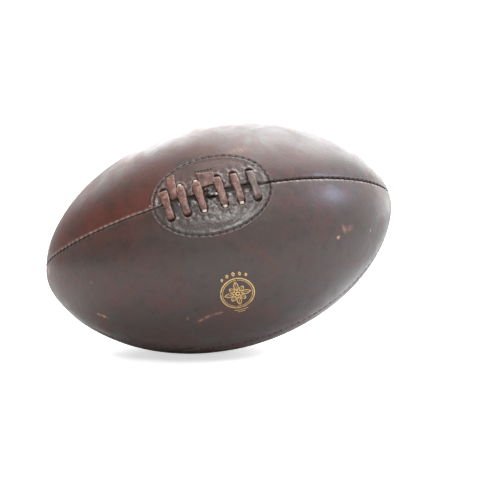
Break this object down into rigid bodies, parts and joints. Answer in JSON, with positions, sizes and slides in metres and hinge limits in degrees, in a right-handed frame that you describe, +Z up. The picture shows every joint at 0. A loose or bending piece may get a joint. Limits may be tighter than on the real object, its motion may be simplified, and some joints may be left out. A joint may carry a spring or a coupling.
{
  "type": "rugby ball",
  "caption": "Oval leather ball of sewn panels over canvas linings and an air bladder, closed by a laced slit in one seam.",
  "frame": {"origin": "the ball's centre, which is the centre of its bounding box", "axes": "+X along the ball's long axis, +Z up, and the laced seam faces the front, -Y, 28 degrees above the horizontal"},
  "size_m": [0.2898, 0.1835, 0.1833],
  "materials": {
    "cover_leather": "dark brown, glossy and worn",
    "canvas": "plain woven canvas",
    "facing_leather": "matte undyed leather",
    "lace_leather": "red-brown, worn at the bends",
    "suede": "napped and pale",
    "rubber": "aged dark rubber",
    "linen_thread": "waxed twisted thread",
    "tie_cord": "twisted cord"
  },
  "bodies": {
    "root": {"panel_lace_upper": "cover_leather", "panel_lace_lower": "cover_leather", "panel_rear_upper": "cover_leather", "panel_rear_lower": "cover_leather", "lining_lace_upper": "canvas", "lining_lace_lower": "canvas", "lining_rear_upper": "canvas", "lining_rear_lower": "canvas", "facing_upper": "facing_leather", "facing_lower": "facing_leather", "tongue": "suede", "tongue_tab": "lace_leather", "bladder": "rubber", "bladder_neck": "rubber", "neck_tie": "tie_cord", "lace": "lace_leather", "lace_tail": "lace_leather", "stitch_oval": "linen_thread", "seam_thread_lace_left": "linen_thread", "seam_thread_lace_right": "linen_thread", "seam_thread_top": "linen_thread", "seam_thread_rear": "linen_thread", "seam_thread_bottom": "linen_thread"}
  },
  "joints": []
}
